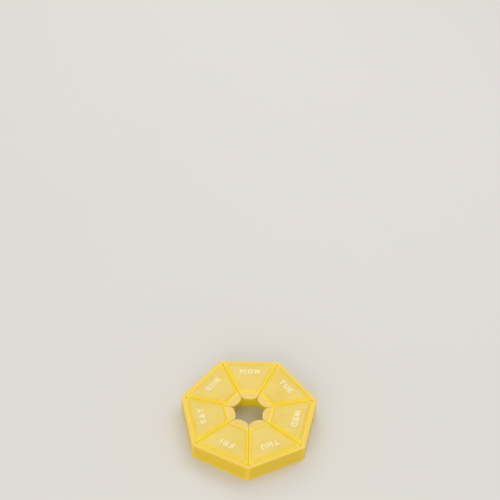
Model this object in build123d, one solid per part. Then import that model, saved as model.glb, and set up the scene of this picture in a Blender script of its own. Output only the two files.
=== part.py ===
from build123d import *
import math
import os

# Seven-day pill box: a seven-sided ring tray with one pocket and one flip lid for each day.
# Millimetres, +Z up. The origin is on the ring's own axis, in the plane that the tray stands on.
# Monday's pocket is towards +Y, and the days run clockwise seen from above.

# ---- driving dimensions ----
SIDES = 7
VERTEX_R = 54.0  # outer corners, before they are rounded
CORNER_R = 3.6  # rounding of the outer corners, in plan
TRAY_H = 16.0  # top of the rim
WALL = 1.6  # outer wall
FLOOR = 1.8
FOOT_RECESS = 0.5  # the underside is relieved by this much between its two standing rings
HOLE_APOTHEM = 15.9  # centre opening, axis to flat
INNER_WALL = 1.5
HOLE_CORNER_R = 1.4
DIVIDER_HALF = 1.2  # half the thickness of the wall between two pockets
LEDGE_Z = 14.7  # top of the dividers and of the inner wall, which the lids lie over
POCKET_CORNER_R = 2.2
POCKET_FLOOR_R = 2.0
RIM_APOTHEM = 45.75  # inner edge of the thickened rim
RIM_DEPTH = 1.75  # its upright inner face; below that it slopes back to the wall
RIM_EDGE_R = 0.6
WELL_CORNER_R = 4.0  # corners of the well that the lids lie in
FOOT_EDGE_R = 1.0

HINGE_APOTHEM = 45.45  # each lid's fold line
HINGE_Z = TRAY_H  # the lid turns about its own top surface, so it can swing past upright
WEB_Z = (15.5, 15.85)  # thin web that bends
WEB_HALF = 20.0

LID_T = 1.2
LID_TOP = TRAY_H
LID_OUTER_Y = 45.15
LID_EDGE = 0.16  # lid's edge to the line between two days
LID_EDGE_R = 0.4
LID_UNDER_R = 0.35
TAB_Y = 12.6  # where the sides of the thumb tab turn into its end
TAB_TIP_Y = 10.75
TAB_CORNER_R = 2.4
PANEL_RISE = 1.8  # raised panel, with sloping sides
PANEL_BASE = (18.3, 44.75, 0.95)  # its foot: inner end, outer end, distance to the line between two days
PANEL_TOP = (19.8, 43.0, 3.4)  # its flat
PANEL_CORNER_R = 2.0
PANEL_EDGE_R = 2.4
PANEL_FOOT_R = 0.5
HOLLOW_BASE = (18.8, 43.0, 2.7)  # the space under the panel
HOLLOW_TOP = (20.4, 41.4, 4.3)
SKIRT_DEPTH = 1.5
SKIRT_T = 0.9
SKIRT_Y = (17.9, 41.5)
SKIRT_EDGE = 1.8
BEAD_R = 0.35
BEAD_PROUD = 0.15
BEAD_Z = 13.8
BEAD_HALF = 4.0

LETTER_H = 4.7
LETTER_STROKE = 1.1
LETTER_GAP = 1.1
LETTER_RAISE = 0.2
LETTER_Y = 36.65  # middle of the letters

DAYS = ["monday", "tuesday", "wednesday", "thursday", "friday", "saturday", "sunday"]
WORDS = ["MON", "TUE", "WED", "THU", "FRI", "SAT", "SUN"]

HALF = math.pi / SIDES
STEP = 360.0 / SIDES


def turned(shape, k):
    """The shape made in Monday's place, turned clockwise to day k."""
    return Rot(0, 0, -STEP * k) * shape


def half_width(y, edge):
    """Half the width of a day's sector at y, held back by edge from the line between two days."""
    return y * math.tan(HALF) - edge / math.cos(HALF)


def poly(*pts):
    """A flat polygon that always faces up."""
    area = sum(
        a[0] * b[1] - b[0] * a[1] for a, b in zip(pts, pts[1:] + pts[:1])
    )
    return Polygon(*(pts if area > 0 else pts[::-1]), align=None)


def sector(y0, y1, edge):
    a, b = half_width(y0, edge), half_width(y1, edge)
    return poly((-a, y0), (a, y0), (b, y1), (-b, y1))


def heptagon(apothem):
    r = apothem / math.cos(HALF)
    pts = [
        (r * math.sin(HALF + 2 * HALF * i), r * math.cos(HALF + 2 * HALF * i))
        for i in range(SIDES)
    ]
    return poly(*pts)


def upright(shape):
    """Edges that run along Z."""
    return shape.edges().filter_by(Axis.Z)


def rounded_prism(face, z0, z1, r):
    solid = Pos(0, 0, z0) * extrude(face, z1 - z0)
    return fillet(upright(solid), r)


# ---- tray ----
APOTHEM = VERTEX_R * math.cos(HALF)
POCKET_Y = (HOLE_APOTHEM + INNER_WALL, APOTHEM - WALL)


def make_pocket():
    pocket = Pos(0, 0, FLOOR) * extrude(
        sector(POCKET_Y[0], POCKET_Y[1], DIVIDER_HALF), TRAY_H
    )
    pocket = fillet(pocket.edges().filter_by(Axis.Z), POCKET_CORNER_R)
    pocket = fillet(pocket.edges().group_by(Axis.Z)[0], POCKET_FLOOR_R)
    # the rim is thicker than the wall: it stands in over the pocket's outer end
    z = TRAY_H - RIM_DEPTH
    run = POCKET_Y[1] - RIM_APOTHEM + 0.3
    section = Plane.YZ * poly(
        (RIM_APOTHEM, z),
        (RIM_APOTHEM, TRAY_H + FLOOR + 1),
        (RIM_APOTHEM + run, TRAY_H + FLOOR + 1),
        (RIM_APOTHEM + run, z - run),
    )
    pocket -= Pos(-30, 0, 0) * extrude(section, 60)
    return pocket


def make_tray():
    body = rounded_prism(heptagon(APOTHEM), 0, TRAY_H, CORNER_R)
    body = fillet(body.edges().group_by(Axis.Z)[-1], RIM_EDGE_R)
    body = fillet(body.edges().group_by(Axis.Z)[0], FOOT_EDGE_R)
    body -= rounded_prism(heptagon(HOLE_APOTHEM), -1, TRAY_H + 1, HOLE_CORNER_R)
    # the well that the seven lids lie in, with a broken edge on the rim
    well = heptagon(RIM_APOTHEM)
    well = fillet(well.vertices(), WELL_CORNER_R)
    body -= Pos(0, 0, LEDGE_Z) * extrude(well, TRAY_H + 1 - LEDGE_Z)
    body -= Pos(0, 0, TRAY_H - 0.2) * extrude(well, 0.25, taper=-45)
    pocket = make_pocket()
    for k in range(SIDES):
        body -= turned(pocket, k)
    # the relieved underside
    recess = rounded_prism(heptagon(44.6), -1, FOOT_RECESS, 2.0) - rounded_prism(
        heptagon(19.4), -1, FOOT_RECESS + 1, 1.6
    )
    body -= recess
    lip = [
        e
        for e in body.edges()
        if abs(e.center().Z - LEDGE_Z) < 1e-4
        and math.hypot(e.center().X, e.center().Y) < HOLE_APOTHEM / math.cos(HALF) + 0.05
        and math.hypot(e.center().X, e.center().Y) > 1
    ]
    body = fillet(lip, 0.4)
    return body


# ---- lid ----
def frustum(base, top, z, rise):
    """A block over one sector whose four sides lean in from its foot to its flat."""
    ends = Plane.YZ * poly(
        (base[0], z), (base[1], z), (top[1], z + rise), (top[0], z + rise)
    )
    solid = Pos(-40, 0, 0) * extrude(ends, 80)
    # the section square to a divider, with distance from the line between two days along X
    side = Plane.XZ * poly((base[2], z), (90, z), (90, z + rise), (top[2], z + rise))
    side = extrude(side, 150, both=True)
    turn = math.degrees(HALF)
    left = Rot(0, 0, turn) * side
    right = mirror(left, Plane.YZ)
    return solid & left & right


def make_lid():
    w0 = half_width(TAB_Y, LID_EDGE)
    w1 = half_width(LID_OUTER_Y, LID_EDGE)
    tip = ThreePointArc((w0, TAB_Y), (0, TAB_TIP_Y), (-w0, TAB_Y))
    rest = Polyline((-w0, TAB_Y), (-w1, LID_OUTER_Y), (w1, LID_OUTER_Y), (w0, TAB_Y))
    outline = make_face(Wire([tip, *rest.edges()]))
    lid = Pos(0, 0, LID_TOP - LID_T) * extrude(outline, LID_T, dir=(0, 0, 1))
    uprights = lid.edges().filter_by(Axis.Z)
    lid = fillet([e for e in uprights if e.center().Y > LID_OUTER_Y - 0.1], 0.5)
    uprights = lid.edges().filter_by(Axis.Z)
    lid = fillet([e for e in uprights if e.center().Y < TAB_Y + 0.1], TAB_CORNER_R)
    top = [
        e
        for e in lid.edges()
        if abs(e.center().Z - LID_TOP) < 1e-4 and e.center().Y < LID_OUTER_Y - 0.05
    ]
    lid = fillet(top, LID_EDGE_R)
    low = [
        e
        for e in lid.edges()
        if abs(e.center().Z - (LID_TOP - LID_T)) < 1e-4 and e.center().Y < 15.5
    ]
    lid = fillet(low, LID_UNDER_R)
    # raised panel, hollow beneath
    panel = frustum(PANEL_BASE, PANEL_TOP, LID_TOP, PANEL_RISE)
    slanted = [
        e
        for e in panel.edges()
        if LID_TOP + 0.05 < e.center().Z < LID_TOP + PANEL_RISE - 0.05
    ]
    panel = fillet(slanted, PANEL_CORNER_R)
    panel = fillet(panel.edges().group_by(Axis.Z)[-1], PANEL_EDGE_R)
    lid += panel
    foot = [
        e
        for e in lid.edges()
        if abs(e.center().Z - LID_TOP) < 0.02
        and PANEL_BASE[0] - 0.01 < e.center().Y < PANEL_BASE[1] + 0.01
        and abs(e.center().X) < half_width(e.center().Y, PANEL_BASE[2] - 0.02)
    ]
    lid = fillet(foot, PANEL_FOOT_R)
    lid -= frustum(HOLLOW_BASE, HOLLOW_TOP, LID_TOP - LID_T, PANEL_RISE)
    # skirt on three sides, which drops inside the pocket
    z0 = LID_TOP - LID_T - SKIRT_DEPTH
    outer = Pos(0, 0, z0) * extrude(
        sector(SKIRT_Y[0], SKIRT_Y[1], SKIRT_EDGE), SKIRT_DEPTH + 0.2
    )
    outer = fillet(
        [e for e in outer.edges().filter_by(Axis.Z) if e.center().Y < 20], 1.6
    )
    inner = Pos(0, 0, z0 - 1) * extrude(
        sector(SKIRT_Y[0] + SKIRT_T, SKIRT_Y[1] + 5, SKIRT_EDGE + SKIRT_T),
        SKIRT_DEPTH + 3,
    )
    inner = fillet(
        [e for e in inner.edges().filter_by(Axis.Z) if e.center().Y < 20], 0.8
    )
    skirt = outer - inner
    # its ends run out towards the hinge, which leaves room to swing
    run_out = Plane.YZ * poly(
        (SKIRT_Y[1] - 5.0, z0 - 0.1),
        (SKIRT_Y[1] + 1.0, z0 - 0.1),
        (SKIRT_Y[1] + 1.0, z0 + SKIRT_DEPTH - 0.2),
        (SKIRT_Y[1], z0 + SKIRT_DEPTH - 0.2),
    )
    skirt -= Pos(-30, 0, 0) * extrude(run_out, 60)
    lid += skirt
    lid += Pos(0, SKIRT_Y[0] + BEAD_R - BEAD_PROUD, BEAD_Z) * (
        Rot(0, 90, 0) * Cylinder(BEAD_R, 2 * BEAD_HALF)
    )
    return lid


def make_web():
    """The thin strip that joins a lid to the rim and bends when the lid is lifted."""
    return Pos(
        0, (LID_OUTER_Y + RIM_APOTHEM) / 2, (WEB_Z[0] + WEB_Z[1]) / 2
    ) * Box(2 * WEB_HALF, RIM_APOTHEM - LID_OUTER_Y, WEB_Z[1] - WEB_Z[0])


# ---- lettering ----
def ring(cx, cy, rx, ry, t):
    """An upright oval stroke."""
    return Pos(cx, cy) * (Ellipse(rx, ry) - Ellipse(rx - t, ry - t))


def letter(c):
    """(face, width) of one plain capital, its foot on y = 0 and its left side on x = 0."""
    h, t = LETTER_H, LETTER_STROKE
    if c == "M":
        w = 5.1
        q, m, v = 1.4, 2.6, 0.6
        lean = v + (w / 2 - t) * (h - m) / (w / 2 - q)
        f = poly(
            (0, 0),
            (t, 0),
            (t, lean),
            (w / 2, v),
            (w - t, lean),
            (w - t, 0),
            (w, 0),
            (w, h),
            (w - q, h),
            (w / 2, m),
            (q, h),
            (0, h),
        )
    elif c == "N":
        w = 4.1
        f = Pos(t / 2, h / 2) * Rectangle(t, h) + Pos(w - t / 2, h / 2) * Rectangle(t, h)
        f += poly((0, h), (t * 1.2, h), (w, 0), (w - t * 1.2, 0))
    elif c == "O":
        w = 4.5
        f = ring(w / 2, h / 2, w / 2, h / 2, t)
    elif c == "T":
        w = 3.9
        f = Pos(w / 2, h / 2) * Rectangle(t, h) + Pos(w / 2, h - t / 2) * Rectangle(w, t)
    elif c == "U":
        w = 4.0
        low = ring(w / 2, w / 2 * 0.95, w / 2, w / 2 * 0.95, t)
        cut = Pos(w / 2, w / 2 * 0.95 + h) * Rectangle(2 * w, 2 * h)
        f = low - cut
        up = h - w / 2 * 0.95
        f += Pos(t / 2, h - up / 2) * Rectangle(t, up) + Pos(w - t / 2, h - up / 2) * Rectangle(t, up)
    elif c in "EF":
        w = 3.5
        f = Pos(t / 2, h / 2) * Rectangle(t, h) + Pos(w / 2, h - t / 2) * Rectangle(w, t)
        f += Pos((w - 0.35) / 2, h / 2 + (0.1 if c == "E" else -0.05)) * Rectangle(w - 0.35, t * 0.92)
        if c == "E":
            f += Pos(w / 2, t / 2) * Rectangle(w, t)
    elif c == "W":
        w = 5.9
        q = t * 1.05
        f = poly((0, h), (q, h), (w * 0.25 + q / 2, 0), (w * 0.25 - q / 2, 0))
        f += poly((w * 0.25 - q / 2, 0), (w * 0.25 + q / 2, 0), (w / 2 + q / 2, h), (w / 2 - q / 2, h))
        f += poly((w / 2 - q / 2, h), (w / 2 + q / 2, h), (w * 0.75 + q / 2, 0), (w * 0.75 - q / 2, 0))
        f += poly((w - q, h), (w, h), (w * 0.75 + q / 2, 0), (w * 0.75 - q / 2, 0))
    elif c == "D":
        w = 4.1
        r = h / 2
        f = ring(w - r, r, r, r, t) - Pos(w - r - 5, r) * Rectangle(10, 2 * h)
        f += Pos(t / 2, r) * Rectangle(t, h)
        f += Pos((w - r) / 2, t / 2) * Rectangle(w - r + 0.02, t) + Pos((w - r) / 2, h - t / 2) * Rectangle(w - r + 0.02, t)
    elif c == "H":
        w = 4.0
        f = Pos(t / 2, h / 2) * Rectangle(t, h) + Pos(w - t / 2, h / 2) * Rectangle(t, h)
        f += Pos(w / 2, h / 2) * Rectangle(w, t * 0.95)
    elif c == "I":
        w = t
        f = Pos(t / 2, h / 2) * Rectangle(t, h)
    elif c == "A":
        w = 4.5
        q = t * 1.08
        f = poly((0, 0), (q, 0), (w / 2 + q / 2, h), (w / 2 - q / 2, h))
        f += poly((w - q, 0), (w, 0), (w / 2 + q / 2, h), (w / 2 - q / 2, h))
        f += Pos(w / 2, h * 0.3) * Rectangle(w * 0.56, t * 0.85)
    elif c == "R":
        w = 4.0
        r = h * 0.31
        f = ring(w - 0.15 - r, h - r, r, r, t) - Pos(w - 0.15 - r - 5, h - r) * Rectangle(10, 4 * r)
        f += Pos(t / 2, h / 2) * Rectangle(t, h)
        run = w - 0.15 - r
        f += Pos(run / 2, h - t / 2) * Rectangle(run + 0.02, t) + Pos(run / 2, h - 2 * r + t / 2) * Rectangle(run + 0.02, t)
        f += poly((w - t * 1.25, 0), (w, 0), (w * 0.62, h - 2 * r + t * 0.6), (w * 0.62 - t * 1.1, h - 2 * r + t * 0.6))
    elif c == "S":
        w = 3.9
        r = (h + t) / 4
        cx = w / 2
        rx = w / 2
        top = Pos(cx, h - r) * (Ellipse(rx, r) - Ellipse(rx - t, r - t))
        bottom = Pos(cx, r) * (Ellipse(rx, r) - Ellipse(rx - t, r - t))
        # the upper bowl loses its lower right quarter, the lower bowl its upper left one
        top -= Pos(cx + 5, h - r - 5 + 0.25) * Rectangle(10, 10)
        bottom -= Pos(cx - 5, r + 5 - 0.25) * Rectangle(10, 10)
        f = top + bottom
    else:
        raise ValueError(c)
    return f, w


def legend(word):
    """The raised letters of one day, in Monday's place. Their heads point away from the centre."""
    made = [letter(c) for c in word]
    total = sum(w for _, w in made) + LETTER_GAP * (len(made) - 1)
    x, solids = -total / 2, []
    for face, w in made:
        s = extrude(face, LETTER_RAISE)
        s = Pos(x, LETTER_Y - LETTER_H / 2, LID_TOP + PANEL_RISE) * s
        solids += s.solids()
        x += w + LETTER_GAP
    return solids


def main():
    os.makedirs("parts", exist_ok=True)
    tray = make_tray()
    lid = make_lid()
    web = make_web()
    print("tray", len(tray.solids()), round(tray.volume), tray.is_valid)
    print("lid", len(lid.solids()), round(lid.volume), lid.is_valid)
    export_step(tray, "parts/tray.step")
    for k, day in enumerate(DAYS):
        letters = [turned(s, k) for s in legend(WORDS[k])]
        print(day, "letters", len(letters), all(s.is_valid for s in letters))
        export_step(turned(lid, k), f"parts/lid_{day}.step")
        export_step(turned(web, k), f"parts/hinge_{day}.step")
        export_step(Compound(children=letters), f"parts/legend_{day}.step")


main()
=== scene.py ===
import math

import bmesh
import bpy
from mathutils import Matrix, Vector


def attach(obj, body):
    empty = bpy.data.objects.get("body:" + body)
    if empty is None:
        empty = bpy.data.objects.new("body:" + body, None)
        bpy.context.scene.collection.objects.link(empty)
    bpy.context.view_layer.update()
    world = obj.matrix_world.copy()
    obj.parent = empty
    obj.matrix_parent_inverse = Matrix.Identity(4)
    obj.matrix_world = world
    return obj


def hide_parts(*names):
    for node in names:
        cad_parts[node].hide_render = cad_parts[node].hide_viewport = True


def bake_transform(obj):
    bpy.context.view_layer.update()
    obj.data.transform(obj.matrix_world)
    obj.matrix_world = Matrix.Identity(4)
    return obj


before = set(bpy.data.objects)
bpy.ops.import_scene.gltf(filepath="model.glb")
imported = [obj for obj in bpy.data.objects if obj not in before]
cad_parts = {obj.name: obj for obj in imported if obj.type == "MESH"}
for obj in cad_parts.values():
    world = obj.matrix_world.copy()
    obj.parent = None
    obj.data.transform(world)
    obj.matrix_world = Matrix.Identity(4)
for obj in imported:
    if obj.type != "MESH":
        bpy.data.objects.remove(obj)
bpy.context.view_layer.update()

MM = 0.001
SIDES = 7
HALF = math.pi / SIDES
STEP = 2 * HALF
DAYS = ["monday", "tuesday", "wednesday", "thursday", "friday", "saturday", "sunday"]

# the frame's own sizes, in millimetres; apothems are measured square to a side
RIM_Y = 45.75  # inner edge of the rim
LID_Y = 45.15  # outer edge of a lid
PANEL_Z = 17.8  # flat of the raised panel
WEB_HALF = 21.0
WEB_Z = (15.5, 15.85)


def turn(k):
    """Monday's place turned to day k."""
    return Matrix.Rotation(-STEP * k, 4, "Z")


# ---------------------------------------------------------------- camera
C = Vector((-0.01032942, -0.55853870, 0.74581032))
F = Vector((0.00844947, 0.70845642, -0.70570398))
U = Vector((0.00841605, 0.70565379, 0.70850681))
R = Vector((0.99992889, -0.01192575, 0.0))
roll = math.radians(2.0319)
R2 = R * math.cos(roll) + U * math.sin(roll)
U2 = U * math.cos(roll) - R * math.sin(roll)
cam = bpy.data.objects.new("camera", bpy.data.cameras.new("camera"))
m = Matrix((R2, U2, -F)).transposed().to_4x4()
m.translation = C
cam.matrix_world = m
cam.data.sensor_width = 36
cam.data.lens = 36 * 1187.4235 / 500
cam.data.clip_start = 0.01
cam.data.clip_end = 50
bpy.context.scene.collection.objects.link(cam)
bpy.context.scene.camera = cam
bpy.context.scene.view_settings.view_transform = "Standard"


# ---------------------------------------------------------------- node helpers
def srgb(r, g, b):
    def lin(c):
        c /= 255
        return c / 12.92 if c <= 0.04045 else ((c + 0.055) / 1.055) ** 2.4

    return (lin(r), lin(g), lin(b), 1.0)


class Nodes:
    """A short way to write a material's nodes."""

    def __init__(self, name):
        self.mat = bpy.data.materials.new(name)
        self.mat.use_nodes = True
        self.t = self.mat.node_tree
        self.t.nodes.clear()
        self.out = self.add("ShaderNodeOutputMaterial")
        self.bsdf = self.add("ShaderNodeBsdfPrincipled")
        self.link(self.bsdf.outputs[0], self.out.inputs["Surface"])
        tex = self.add("ShaderNodeTexCoord")
        self.coord, self.normal = tex.outputs["Object"], tex.outputs["Normal"]

    def add(self, kind, **settings):
        n = self.t.nodes.new(kind)
        for k, v in settings.items():
            setattr(n, k, v)
        return n

    def link(self, a, b):
        self.t.links.new(a, b)

    def put(self, value, socket):
        if isinstance(value, bpy.types.NodeSocket):
            self.link(value, socket)
        else:
            socket.default_value = value

    def noise(self, scale, detail=3.0, rough=0.55, vector=None, distortion=0.0):
        n = self.add("ShaderNodeTexNoise")
        self.link(vector or self.coord, n.inputs["Vector"])
        n.inputs["Scale"].default_value = scale
        n.inputs["Detail"].default_value = detail
        n.inputs["Roughness"].default_value = rough
        n.inputs["Distortion"].default_value = distortion
        return n.outputs["Fac"]

    def stretched(self, scale, rotation=(0, 0, 0)):
        n = self.add("ShaderNodeMapping")
        self.link(self.coord, n.inputs["Vector"])
        n.inputs["Scale"].default_value = scale
        n.inputs["Rotation"].default_value = rotation
        return n.outputs[0]

    def math(self, op, a, b=0.0, c=0.0, clamp=False):
        n = self.add("ShaderNodeMath", operation=op, use_clamp=clamp)
        self.put(a, n.inputs[0])
        self.put(b, n.inputs[1])
        self.put(c, n.inputs[2])
        return n.outputs[0]

    def ramp(self, fac, low, high, a=0.0, b=1.0, smooth=True):
        """a below low, b above high."""
        n = self.add("ShaderNodeMapRange", clamp=True)
        if smooth:
            n.interpolation_type = "SMOOTHSTEP"
        self.put(fac, n.inputs["Value"])
        self.put(low, n.inputs["From Min"])
        self.put(high, n.inputs["From Max"])
        self.put(a, n.inputs["To Min"])
        self.put(b, n.inputs["To Max"])
        return n.outputs["Result"]

    def mix(self, fac, a, b, blend="MIX"):
        n = self.add("ShaderNodeMix", data_type="RGBA", blend_type=blend)
        self.put(fac, n.inputs["Factor"])
        self.put(a, n.inputs[6])
        self.put(b, n.inputs[7])
        return n.outputs[2]

    def xyz(self, vector=None):
        n = self.add("ShaderNodeSeparateXYZ")
        self.link(vector or self.coord, n.inputs[0])
        return n.outputs

    def sector(self):
        """(apothem, distance to the nearest line between two days, height), in metres."""
        x, y, z = self.xyz()
        a = self.math("ARCTAN2", x, y)
        a = self.math("WRAP", a, HALF, -HALF)
        r = self.math("SQRT", self.math("MULTIPLY_ADD", x, x, self.math("MULTIPLY", y, y)))
        apothem = self.math("MULTIPLY", r, self.math("COSINE", a))
        rest = self.math("SUBTRACT", HALF, self.math("ABSOLUTE", a))
        return apothem, self.math("MULTIPLY", r, self.math("SINE", rest)), z

    def bump(self, height, strength, distance, normal=None):
        n = self.add("ShaderNodeBump")
        n.inputs["Strength"].default_value = strength
        n.inputs["Distance"].default_value = distance
        self.put(height, n.inputs["Height"])
        if normal is not None:
            self.link(normal, n.inputs["Normal"])
        return n.outputs["Normal"]

    def hairlines(self):
        """Sparse hairline scratches in three directions: 1 on a scratch."""
        total = None
        for i, angle in enumerate((0.35, 1.5, 2.55)):
            v = self.stretched((1.0, 0.035, 1.0), (0.0, 0.0, angle))
            warped = self.noise(2300.0 + 300 * i, 1.0, 0.4, vector=v)
            line = self.ramp(warped, 0.70, 0.74)
            where = self.ramp(self.noise(60.0 + 17 * i, 2.0), 0.52, 0.62)
            one = self.math("MULTIPLY", line, where)
            total = one if total is None else self.math("MAXIMUM", total, one)
        return total


def plastic(name, deep, light, subsurface, rough):
    """Translucent moulded polypropylene: a faintly clouded colour, a fine mould grain, slow ripples and a few hairline scratches."""
    n = Nodes(name)
    cloud = n.ramp(n.noise(42.0, 4.0, 0.6, distortion=0.5), 0.3, 0.7)
    flow = n.ramp(n.noise(150.0, 2.0, 0.5, vector=n.stretched((1.0, 1.0, 5.0))), 0.35, 0.75)
    fac = n.math("MULTIPLY_ADD", flow, 0.25, n.math("MULTIPLY", cloud, 0.75))
    colour = n.mix(fac, deep, light)
    n.link(colour, n.bsdf.inputs["Base Color"])
    # hairlines only where the part is handled and slid about: its level faces
    level = n.ramp(n.math("ABSOLUTE", n.xyz(n.normal)[2]), 0.75, 0.95)
    scratch = n.math("MULTIPLY", n.hairlines(), level)
    r = n.ramp(n.noise(28.0, 1.5), 0.3, 0.7, rough - 0.02, rough + 0.03)
    r = n.math("MULTIPLY_ADD", scratch, 0.10, r)
    n.link(r, n.bsdf.inputs["Roughness"])
    fine = n.bump(n.noise(2400.0, 2.0), 0.5, 0.0000025)
    slow = n.bump(n.noise(95.0, 1.0), 0.5, 0.00003, fine)
    n.link(n.bump(scratch, 0.25, 0.000005, slow), n.bsdf.inputs["Normal"])
    b = n.bsdf.inputs
    b["IOR"].default_value = 1.49
    b["Subsurface Weight"].default_value = subsurface
    b["Subsurface Radius"].default_value = (1.0, 0.8, 0.2)
    b["Subsurface Scale"].default_value = 0.0015
    return n, colour, r


# ---------------------------------------------------------------- materials
tray_n, tray_colour, _ = plastic(
    "tray_pp", srgb(243, 203, 48), srgb(249, 211, 62), 0.5, 0.24
)
ap, off, z = tray_n.sector()
# painted highlight: the rim's top is painted paler, a painted sheen that stands in for the gloss along its rounded edge
rim = tray_n.math(
    "MULTIPLY",
    tray_n.ramp(z, 0.0151, 0.0156),
    tray_n.ramp(ap, 0.0455, 0.0459),
)
# painted shade: the outer walls are painted deeper and darker than the rim, most of all just under it
side = tray_n.math(
    "MULTIPLY", tray_n.ramp(z, 0.0156, 0.0150), tray_n.ramp(ap, 0.0478, 0.0484)
)
depth = tray_n.ramp(z, 0.0015, 0.0150, 0.84, 1.0)
streak = tray_n.ramp(
    tray_n.noise(70.0, 2.0, 0.5, vector=tray_n.stretched((1.0, 1.0, 0.3))), 0.3, 0.7, 0.86, 1.0
)
# painted highlight: the wall is seen through, so its foot, where the plastic is thickest, and its corners catch the
# light; there the painted shade is lifted
foot = tray_n.ramp(z, 0.0009, 0.0026)
corner = tray_n.ramp(off, 0.0006, 0.0026, 0.45, 1.0)
clear = tray_n.math("MULTIPLY", foot, corner)
side = tray_n.math(
    "MULTIPLY", side, tray_n.math("MULTIPLY", depth, tray_n.math("MULTIPLY", streak, clear))
)
# painted light: the centre opening is painted bright, standing in for the light that comes through the walls
hole = tray_n.math(
    "MULTIPLY", tray_n.ramp(ap, 0.0166, 0.0160), tray_n.ramp(z, 0.0149, 0.0146)
)
# painted light: the tops of the dividers between the lids are painted bright as well, standing in for the same light
ledge = tray_n.math(
    "MULTIPLY", tray_n.ramp(z, 0.0144, 0.0146), tray_n.ramp(ap, 0.0462, 0.0458)
)
# painted highlight: the outer wall's foot is painted paler still, standing in for the light caught where the wall is
# thickest
thick_foot_highlight = tray_n.math(
    "MULTIPLY",
    tray_n.ramp(ap, 0.0470, 0.0480),
    tray_n.math("MULTIPLY", tray_n.ramp(z, 0.0024, 0.0010), tray_n.ramp(z, 0.0, 0.0004)),
)
# painted light: inside the pockets light bounces from wall to wall, which would turn them orange, so their insides are
# painted paler
pocket = tray_n.math(
    "MULTIPLY",
    tray_n.ramp(ap, 0.0474, 0.0470),
    tray_n.math("MULTIPLY", tray_n.ramp(ap, 0.0166, 0.0170), tray_n.ramp(z, 0.0008, 0.0014)),
)
colour = tray_n.mix(pocket, tray_colour, srgb(253, 226, 92))
colour = tray_n.mix(thick_foot_highlight, colour, srgb(255, 224, 92))
colour = tray_n.mix(side, colour, srgb(226, 193, 30))
colour = tray_n.mix(rim, colour, srgb(240, 206, 84))
colour = tray_n.mix(hole, colour, srgb(255, 234, 40))
tray_n.link(
    tray_n.ramp(tray_n.math("MAXIMUM", hole, ledge), 0.0, 1.0, 0.5, 0.0),
    tray_n.bsdf.inputs["Subsurface Weight"],
)
colour = tray_n.mix(ledge, colour, srgb(255, 228, 66))
tray_n.link(colour, tray_n.bsdf.inputs["Base Color"])

lid_n, lid_colour, lid_rough = plastic(
    "lid_pp", srgb(249, 214, 48), srgb(253, 220, 62), 0.5, 0.22
)
ap, off, z = lid_n.sector()
# the raised panel is frosted, and clears gradually down its sloping sides
frost = lid_n.math(
    "MULTIPLY",
    lid_n.ramp(off, 0.0014, 0.0038),
    lid_n.math("MULTIPLY", lid_n.ramp(ap, 0.0184, 0.0202), lid_n.ramp(ap, 0.0447, 0.0428)),
)
panel = lid_n.math("MULTIPLY", frost, lid_n.ramp(z, 0.0160, 0.0163))
overhang = lid_n.math(
    "MULTIPLY", lid_n.ramp(ap, 0.0180, 0.0150), lid_n.ramp(z, 0.0150, 0.0156)
)
# painted light: the lids' flanks along the narrow gap between two lids are painted bright, standing in for light that
# comes through the plastic into the gap
between = lid_n.math(
    "MULTIPLY", lid_n.ramp(off, 0.00045, 0.00025), lid_n.ramp(ap, 0.0130, 0.0150)
)
speck = lid_n.ramp(lid_n.noise(1100.0, 3.0), 0.35, 0.7)
pale = lid_n.ramp(lid_n.noise(55.0, 2.0, 0.5, distortion=0.4), 0.3, 0.7)
frosted = lid_n.mix(speck, srgb(228, 200, 87), srgb(235, 206, 99))
frosted = lid_n.mix(pale, frosted, srgb(236, 209, 113))
colour = lid_n.mix(panel, lid_colour, frosted)
colour = lid_n.mix(
    lid_n.math("MULTIPLY", overhang, 0.85), colour, srgb(229, 202, 116)
)
colour = lid_n.mix(between, colour, srgb(255, 228, 58))
lid_n.link(
    lid_n.ramp(between, 0.0, 1.0, 0.5, 0.0), lid_n.bsdf.inputs["Subsurface Weight"]
)
# painted light: faces that point downwards are painted paler
under = lid_n.ramp(lid_n.xyz(lid_n.normal)[2], -0.1, -0.5)
colour = lid_n.mix(lid_n.math("MULTIPLY", under, 0.7), colour, srgb(252, 224, 90))
lid_n.link(colour, lid_n.bsdf.inputs["Base Color"])
lid_n.link(
    lid_n.math("MULTIPLY_ADD", panel, 0.24, lid_rough), lid_n.bsdf.inputs["Roughness"]
)

web_n, web_colour, _ = plastic(
    "hinge_pp", srgb(250, 214, 60), srgb(253, 220, 80), 0.15, 0.30
)
fold = web_n.add("ShaderNodeAttribute", attribute_name="fold").outputs["Fac"]
crease = web_n.math(
    "MULTIPLY", fold, web_n.ramp(web_n.noise(900.0, 3.0), 0.3, 0.7, 0.25, 0.7)
)
web_n.link(
    web_n.mix(crease, web_colour, srgb(255, 230, 116)), web_n.bsdf.inputs["Base Color"]
)

ink = Nodes("cream_lettering")
worn = ink.ramp(ink.noise(1500.0, 4.0, 0.65), 0.56, 0.74)
tone = ink.mix(ink.noise(420.0, 2.0), srgb(245, 225, 166), srgb(249, 233, 185))
ink.link(
    ink.mix(ink.math("MULTIPLY", worn, 0.4), tone, srgb(242, 216, 128)),
    ink.bsdf.inputs["Base Color"],
)
ink.link(ink.ramp(ink.noise(700.0), 0.3, 0.7, 0.36, 0.5), ink.bsdf.inputs["Roughness"])
ink.link(ink.bump(ink.noise(2600.0, 3.0), 0.4, 0.000006), ink.bsdf.inputs["Normal"])
ink.bsdf.inputs["Subsurface Weight"].default_value = 0.25
ink.bsdf.inputs["Subsurface Radius"].default_value = (1.0, 0.8, 0.4)
ink.bsdf.inputs["Subsurface Scale"].default_value = 0.0006


def finish_with(obj, mat):
    obj.data.materials.clear()
    obj.data.materials.append(mat)


finish_with(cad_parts["tray"], tray_n.mat)
for d in DAYS:
    finish_with(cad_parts[f"lid_{d}"], lid_n.mat)


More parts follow.
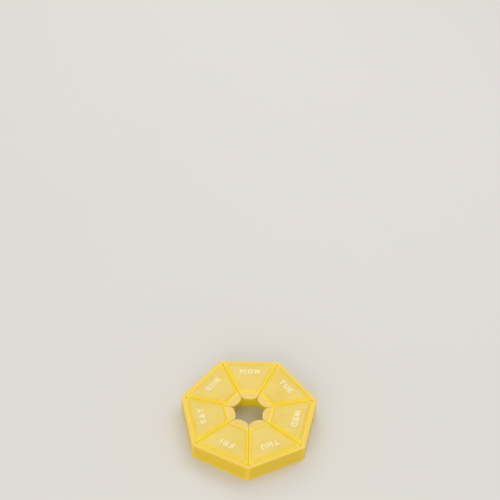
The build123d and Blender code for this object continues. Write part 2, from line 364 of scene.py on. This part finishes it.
# ---------------------------------------------------------------- hinge webs
def web(k, day):
    """The thin strip of a living hinge: a shallow groove above and below along the fold line, and ends that round off."""
    across = [i / 12 for i in range(13)]  # from the rim to the lid
    rows = 96
    bm = bmesh.new()
    layer = bm.verts.layers.float.new("fold")
    y0, y1 = RIM_Y + 0.02, LID_Y - 0.02
    rings = []
    for i in range(rows + 1):
        s = -1 + 2 * i / rows
        x = WEB_HALF * s
        end = min(1.0, (1 - abs(s)) * WEB_HALF / 0.5)
        thin = math.sqrt(max(0.0, 1 - (1 - end) ** 2)) * 0.999 + 0.001
        wave = 0.012 * math.sin(0.9 * x + k) + 0.008 * math.sin(2.3 * x + 2 * k)
        top, low = [], []
        for t in across:
            y = y0 + (y1 - y0) * t
            dip = math.sin(math.pi * t) ** 2
            mid = (WEB_Z[0] + WEB_Z[1]) / 2
            up = (WEB_Z[1] - mid - 0.10 * dip) * thin
            dn = (mid - WEB_Z[0] - 0.04 * dip) * thin
            top.append((x, y, mid + up + wave * dip, dip))
            low.append((x, y, mid - dn + wave * dip, dip))
        loop = top + low[::-1]
        ring = []
        for p in loop:
            v = bm.verts.new([c * MM for c in p[:3]])
            v[layer] = p[3]
            ring.append(v)
        rings.append(ring)
    for a, b in zip(rings, rings[1:]):
        for i in range(len(a)):
            j = (i + 1) % len(a)
            bm.faces.new((a[i], b[i], b[j], a[j]))
    for ring in (rings[0], rings[-1]):
        bm.faces.new(ring)
    bmesh.ops.recalc_face_normals(bm, faces=bm.faces)
    me = bpy.data.meshes.new(f"web_{day}")
    bm.to_mesh(me)
    bm.free()
    me.transform(turn(k))
    for p in me.polygons:
        p.use_smooth = True
    me.materials.append(web_n.mat)
    ob = bpy.data.objects.new(f"web_{day}", me)
    bpy.context.scene.collection.objects.link(ob)
    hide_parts(f"hinge_{day}")
    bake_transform(ob)
    return ob


# ---------------------------------------------------------------- raised letters
def top_loops(node, k):
    """The closed outlines of a day's letters, in Monday's place, from the flat tops of its CAD node."""
    bm = bmesh.new()
    bm.from_mesh(node.data)
    bm.transform(turn(k).inverted())
    bmesh.ops.remove_doubles(bm, verts=bm.verts, dist=1e-6)
    top = max(v.co.z for v in bm.verts)
    flat = {f for f in bm.faces if all(abs(v.co.z - top) < 2e-6 for v in f.verts)}
    after = {}
    for f in flat:
        for l in f.loops:
            if sum(1 for g in l.edge.link_faces if g in flat) == 1:
                after[l.vert.index] = l.link_loop_next.vert.index
    bm.verts.index_update()
    bm.verts.ensure_lookup_table()
    after = {}
    for f in flat:
        for l in f.loops:
            if sum(1 for g in l.edge.link_faces if g in flat) == 1:
                after[l.vert.index] = l.link_loop_next.vert.index
    loops = []
    while after:
        start, nxt = next(iter(after.items()))
        chain = [start]
        del after[start]
        while nxt != start and nxt in after:
            chain.append(nxt)
            nxt = after.pop(nxt)
        loops.append([bm.verts[i].co.copy() for i in chain])
    bm.free()
    return loops, top


def corners_only(loop):
    """Drops the points that lie in line with their neighbours."""
    kept = []
    n = len(loop)
    for i, p in enumerate(loop):
        a, b = loop[i - 1], loop[(i + 1) % n]
        u, v = (p - a), (b - p)
        if u.length < 1e-7 or v.length < 1e-7 or u.angle(v) > math.radians(0.4):
            kept.append(p)
    return kept


def letters(k, day):
    loops, top = top_loops(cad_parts[f"legend_{day}"], k)
    edge = 0.07 * MM
    cu = bpy.data.curves.new(f"letters_{day}", "CURVE")
    cu.dimensions = "2D"
    cu.fill_mode = "BOTH"
    cu.extrude = 0.12 * MM
    cu.bevel_depth = edge
    cu.bevel_resolution = 3
    cu.offset = 0.03 * MM
    for loop in loops:
        pts = corners_only(loop)
        if len(pts) < 3:
            continue
        s = cu.splines.new("POLY")
        s.points.add(len(pts) - 1)
        for p, q in zip(s.points, pts):
            p.co = (q.x, q.y, 0, 1)
        s.use_cyclic_u = True
    tmp = bpy.data.objects.new(f"tmp_{day}", cu)
    bpy.context.scene.collection.objects.link(tmp)
    bpy.context.view_layer.update()
    dg = bpy.context.evaluated_depsgraph_get()
    me = bpy.data.meshes.new_from_object(tmp.evaluated_get(dg), depsgraph=dg)
    bpy.data.objects.remove(tmp)
    bm = bmesh.new()
    bm.from_mesh(me)
    bmesh.ops.remove_doubles(bm, verts=bm.verts, dist=2e-6)
    bmesh.ops.recalc_face_normals(bm, faces=bm.faces)
    # the foot is sunk a little into the panel, so that no gap shows round the letters
    high = max(v.co.z for v in bm.verts)
    bmesh.ops.translate(bm, verts=bm.verts, vec=(0, 0, top - high))
    bm.to_mesh(me)
    bm.free()
    me.transform(turn(k))
    for p in me.polygons:
        p.use_smooth = True
    me.set_sharp_from_angle(angle=math.radians(40))
    me.materials.clear()
    me.materials.append(ink.mat)
    me.name = f"letters_{day}"
    ob = bpy.data.objects.new(f"letters_{day}", me)
    bpy.context.scene.collection.objects.link(ob)
    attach(ob, f"{day}_lid")
    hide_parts(f"legend_{day}")
    return ob


for k, d in enumerate(DAYS):
    web(k, d)
    letters(k, d)


# ---------------------------------------------------------------- stage and light
def floor():
    bm = bmesh.new()
    bmesh.ops.create_circle(bm, cap_ends=True, segments=64, radius=3.0)
    me = bpy.data.meshes.new("floor")
    bm.to_mesh(me)
    bm.free()
    ob = bpy.data.objects.new("floor", me)
    bpy.context.scene.collection.objects.link(ob)
    f = Nodes("pale_floor")
    tone = f.mix(f.noise(3.0, 3.0), srgb(218, 216, 212), srgb(222, 220, 216))
    f.link(tone, f.bsdf.inputs["Base Color"])
    f.bsdf.inputs["Roughness"].default_value = 0.75
    f.bsdf.inputs["Specular IOR Level"].default_value = 0.3
    ob.data.materials.append(f.mat)
    return ob


floor()


def area(name, at, size, watts, colour=(1, 1, 1)):
    d = bpy.data.lights.new(name, "AREA")
    d.shape = "DISK"
    d.size = size
    d.energy = watts
    d.color = colour
    ob = bpy.data.objects.new(name, d)
    ob.location = at
    ob.rotation_euler = (Vector((0, 0, 0.01)) - Vector(at)).to_track_quat("-Z", "Y").to_euler()
    bpy.context.scene.collection.objects.link(ob)
    return ob


area("key", (0.40, 0.40, 0.95), 0.8, 2.3, (1.0, 0.98, 0.94))
area("front", (-0.25, -0.95, 0.52), 0.8, 3.7, (1.0, 0.98, 0.96))
area("back", (-0.25, 0.95, 0.80), 0.8, 2.4, (1.0, 0.98, 0.95))
world = bpy.data.worlds.new("soft")
world.use_nodes = True
world.node_tree.nodes["Background"].inputs["Color"].default_value = (1.0, 0.985, 0.96, 1)
world.node_tree.nodes["Background"].inputs["Strength"].default_value = 0.675
bpy.context.scene.world = world
